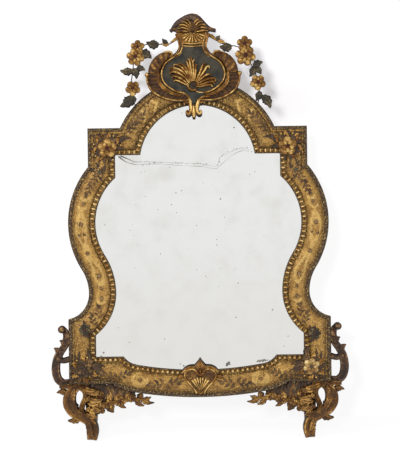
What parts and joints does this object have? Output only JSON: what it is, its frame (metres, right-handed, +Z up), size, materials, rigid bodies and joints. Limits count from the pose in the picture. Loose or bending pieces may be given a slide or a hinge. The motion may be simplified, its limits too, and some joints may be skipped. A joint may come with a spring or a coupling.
{
  "type": "table mirror",
  "caption": "Carved, painted and gilded table mirror: cartouche frame with pearl beading, old silvered glass, pierced cresting, wire garlands, scroll feet and folding props behind.",
  "frame": {"origin": "on the table top, in the middle of the footprint's bounding box", "axes": "+Z up, the glass faces -Y and leans back, +X to the viewer's right"},
  "size_m": [0.51, 0.1431, 0.7192],
  "materials": {
    "gilt_wood": "water gilding over gesso, rubbed and darkened in the hollows",
    "worn_brown_wood": "gilding worn down to brown bole and wood",
    "painted_panel": "blue-grey distemper, matt and faded",
    "bare_wood": "unfinished old poplar, dry and dusty",
    "silvered_glass": "old silvering with foxing and a crack line",
    "dark_iron": "dark oxidised iron",
    "painted_leaves": "dull green paint over sheet metal, rubbed",
    "gilt_flowers": "gilding with touches of dark red"
  },
  "bodies": {
    "mirror_frame": {"arch_rail": "gilt_wood", "backboard_lower": "bare_wood", "backboard_upper": "bare_wood", "beading_bottom": "gilt_wood", "beading_left": "gilt_wood", "beading_right": "gilt_wood", "beading_top": "gilt_wood", "bottom_rail": "gilt_wood", "corner_keys": "bare_wood", "crest_block": "bare_wood", "crest_border": "gilt_wood", "crest_clasp": "gilt_wood", "crest_panel": "painted_panel", "crest_plume": "gilt_wood", "finial_cap": "worn_brown_wood", "finial_shell": "gilt_wood", "heart_cartouche": "gilt_wood", "left_apron": "gilt_wood", "left_ear": "worn_brown_wood", "left_foot": "gilt_wood", "left_garland_flowers": "gilt_flowers", "left_garland_leaves": "painted_leaves", "left_garland_wire": "dark_iron", "left_hinge_fixed_leaves": "dark_iron", "left_hinge_frame_screws": "dark_iron", "left_hinge_pins": "dark_iron", "left_lower_block": "gilt_wood", "left_lower_rosette": "gilt_wood", "left_small_flowers": "gilt_wood", "left_stile": "gilt_wood", "left_upper_block": "gilt_wood", "left_upper_rosette": "gilt_wood", "mirror_glass": "silvered_glass", "rebate_blocks": "bare_wood", "right_apron": "gilt_wood", "right_ear": "worn_brown_wood", "right_foot": "gilt_wood", "right_garland_flowers": "gilt_flowers", "right_garland_leaves": "painted_leaves", "right_garland_wire": "dark_iron", "right_hinge_fixed_leaves": "dark_iron", "right_hinge_frame_screws": "dark_iron", "right_hinge_pins": "dark_iron", "right_lower_block": "gilt_wood", "right_lower_rosette": "gilt_wood", "right_small_flowers": "gilt_wood", "right_stile": "gilt_wood", "right_upper_block": "gilt_wood", "right_upper_rosette": "gilt_wood"},
    "left_prop_wing": {"left_prop": "bare_wood", "left_hinge_moving_leaves": "dark_iron", "left_hinge_prop_screws": "dark_iron"},
    "right_prop_wing": {"right_prop": "bare_wood", "right_hinge_moving_leaves": "dark_iron", "right_hinge_prop_screws": "dark_iron"}
  },
  "joints": [
    {"name": "left_prop_fold", "type": "hinge", "parent": "mirror_frame", "child": "left_prop_wing", "pos_m": [-0.1846, -0.03738, 0.1273], "axis": [0, 0.0872, 0.9962], "range_deg": [-90, 0]},
    {"name": "right_prop_fold", "type": "hinge", "parent": "mirror_frame", "child": "right_prop_wing", "pos_m": [0.1846, -0.03738, 0.1273], "axis": [0, 0.0872, 0.9962], "range_deg": [0, 90]}
  ]
}
